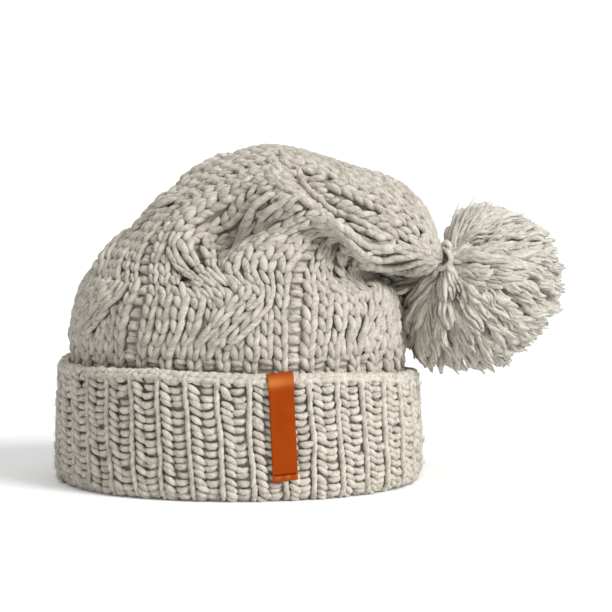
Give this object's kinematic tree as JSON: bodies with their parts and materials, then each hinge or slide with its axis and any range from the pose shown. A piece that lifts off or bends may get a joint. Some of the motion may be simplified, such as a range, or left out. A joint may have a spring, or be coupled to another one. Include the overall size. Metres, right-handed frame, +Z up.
{
  "type": "knit hat",
  "caption": "Slouchy cable-knit hat with a turned-up ribbed cuff, a plain leather tab over its edge and a yarn pompom tied to the tip, which folds over to one side.",
  "frame": {"origin": "on the floor, under the middle of the whole hat's box, pompom included", "axes": "+Z up from the floor that the cuff rests on; -Y to the front, where the leather tab hangs; +X to the side that the tip and its pompom fold over to"},
  "size_m": [0.2922, 0.2002, 0.192],
  "materials": {
    "knit_yarn": "soft heathered oatmeal yarn in a chunky cable knit",
    "rib_yarn": "the same yarn in a chunky rib",
    "pompom_yarn": "soft cut yarn, slightly lighter and fluffed",
    "tan_leather": "smooth saddle tan leather, satin"
  },
  "bodies": {
    "root": {"crown": "knit_yarn", "ribbed_cuff": "rib_yarn", "leather_tab": "tan_leather", "pompom": "pompom_yarn", "pompom_tie": "pompom_yarn"}
  },
  "joints": []
}
